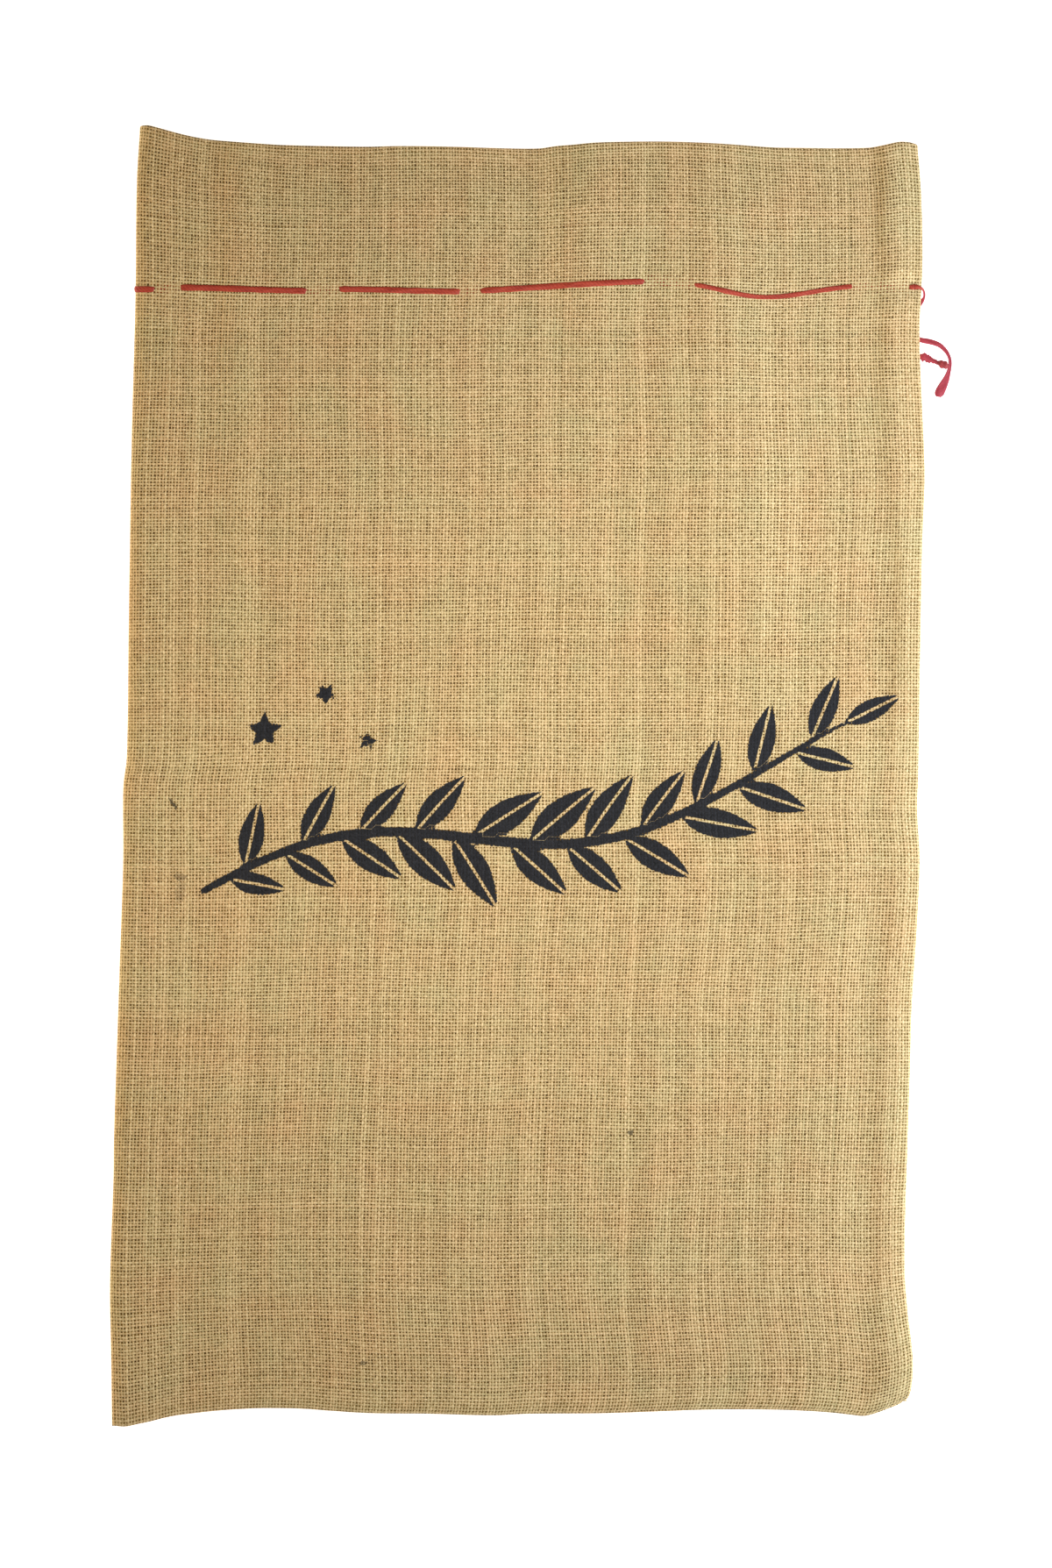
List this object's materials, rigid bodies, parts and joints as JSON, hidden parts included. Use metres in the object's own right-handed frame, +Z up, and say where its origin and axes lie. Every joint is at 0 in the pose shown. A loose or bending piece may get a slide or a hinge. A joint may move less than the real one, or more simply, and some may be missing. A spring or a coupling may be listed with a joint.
{
  "type": "burlap sack",
  "caption": "Empty natural jute sack lying flat, with a hemmed open mouth, a side seam, a foot seam and a narrow red ribbon drawstring threaded round it near the mouth.",
  "frame": {"origin": "under the middle of the sack, on the surface that it lies on", "axes": "+X to the side seam, +Y from the foot to the mouth, +Z up out of the printed face"},
  "size_m": [0.6398, 0.987, 0.0167],
  "materials": {
    "burlap": "rough open plain weave",
    "satin_ribbon": "smooth satin"
  },
  "bodies": {
    "root": {"burlap_body": "burlap", "drawstring_ribbon": "satin_ribbon", "tie_strand_long": "satin_ribbon", "tie_strand_short": "satin_ribbon", "tie_knot": "satin_ribbon"}
  },
  "joints": []
}
